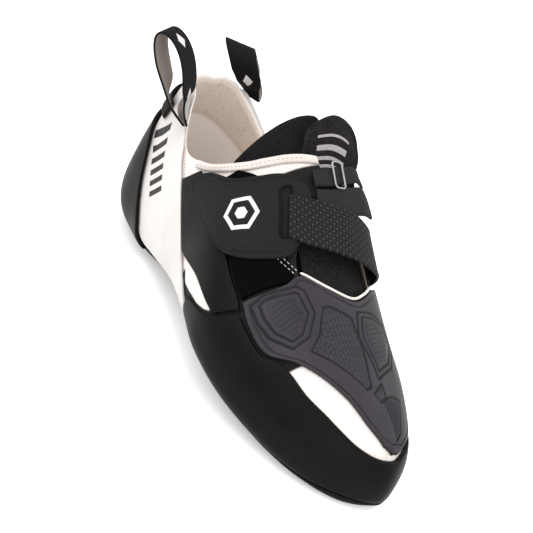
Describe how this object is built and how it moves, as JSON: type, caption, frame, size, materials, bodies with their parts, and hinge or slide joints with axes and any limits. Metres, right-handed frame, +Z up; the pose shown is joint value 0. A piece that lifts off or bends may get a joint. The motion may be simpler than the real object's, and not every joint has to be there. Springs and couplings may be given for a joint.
{
  "type": "climbing shoe",
  "caption": "Right-foot climbing shoe with a knit upper, black rubber sole and rands, moulded toe cap, one webbing strap over the instep and two pull loops at the heel.",
  "frame": {"origin": "on the floor, under the middle of the shoe's bounding box", "axes": "+X from heel to toe, +Y towards the inner (medial) side, +Z up from the floor"},
  "size_m": [0.2516, 0.1008, 0.1228],
  "materials": {
    "outsole_rubber": "satin",
    "upper_knit": "matte",
    "insole_foam": "matte",
    "rand_rubber": "satin",
    "heel_rand_leather": "satin",
    "heel_rubber": "satin",
    "heel_tape": "matte",
    "sling_rubber": "satin",
    "loop_pile": "matte",
    "wing_microfibre": "matte",
    "toe_cap_rubber": "matte",
    "webbing": "matte",
    "grosgrain": "matte",
    "binding_knit": "matte",
    "tongue_mesh": "matte",
    "sleeve_neoprene": "matte",
    "piping": "satin",
    "steel_wire": "polished",
    "pull_loop_tape": "matte"
  },
  "bodies": {
    "root": {"outsole": "outsole_rubber", "upper": "upper_knit", "insole": "insole_foam", "rand": "rand_rubber", "heel_rand": "heel_rand_leather", "heel_rubber": "heel_rubber", "heel_tape": "heel_tape", "sling_lateral": "sling_rubber", "sling_medial": "sling_rubber", "loop_patch": "loop_pile", "wing_pad": "wing_microfibre", "toe_cap": "toe_cap_rubber", "webbing_strap": "webbing", "instep_band": "grosgrain", "upper_band": "grosgrain", "collar_binding": "binding_knit", "tongue": "tongue_mesh", "sleeve": "sleeve_neoprene", "throat_piping": "piping", "wire_ring": "steel_wire", "pull_loop_lateral": "pull_loop_tape", "pull_loop_medial": "pull_loop_tape"}
  },
  "joints": []
}
